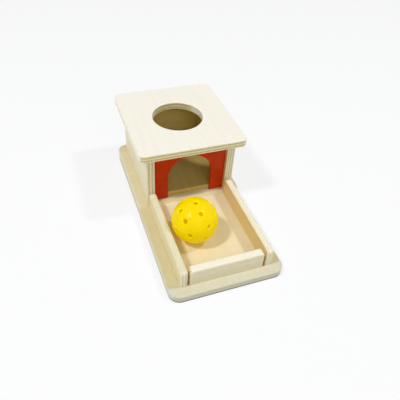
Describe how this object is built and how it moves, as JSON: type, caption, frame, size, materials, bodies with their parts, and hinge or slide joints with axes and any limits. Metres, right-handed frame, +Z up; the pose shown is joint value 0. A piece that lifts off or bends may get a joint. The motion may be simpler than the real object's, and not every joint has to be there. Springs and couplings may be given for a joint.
{
  "type": "object permanence box",
  "caption": "Plywood box with a round drop hole in its lid, a red arched doorway and a hidden ramp, on a long base with a low tray that catches a hollow perforated ball.",
  "frame": {"origin": "middle of the base board's underside, on the surface that the toy stands on", "axes": "+Z up, +Y along the base from the tray towards the box, +X to the right as seen from the tray's end"},
  "size_m": [0.125, 0.2516, 0.0915],
  "materials": {
    "birch_board": "satin lacquer",
    "birch_ply": "satin lacquer",
    "red_paint": "satin paint",
    "yellow_plastic": "gloss",
    "beech": "plain"
  },
  "bodies": {
    "box": {"base_board": "birch_board", "floor_plate": "birch_board", "left_wall": "birch_ply", "right_wall": "birch_ply", "back_wall": "birch_ply", "front_panel": "red_paint", "lid": "birch_ply", "ramp": "birch_ply", "ramp_support": "beech", "left_rail": "birch_ply", "right_rail": "birch_ply", "front_bar": "birch_ply", "lid_dowels": "beech", "wall_dowels": "beech", "rail_dowels": "beech", "bar_dowels": "beech"},
    "ball": {"ball": "yellow_plastic"}
  },
  "joints": [
    {"name": "ball_roll", "type": "slide", "parent": "box", "child": "ball", "axis": [0, 1, 0], "range_m": [-0.028, 0.039]}
  ]
}
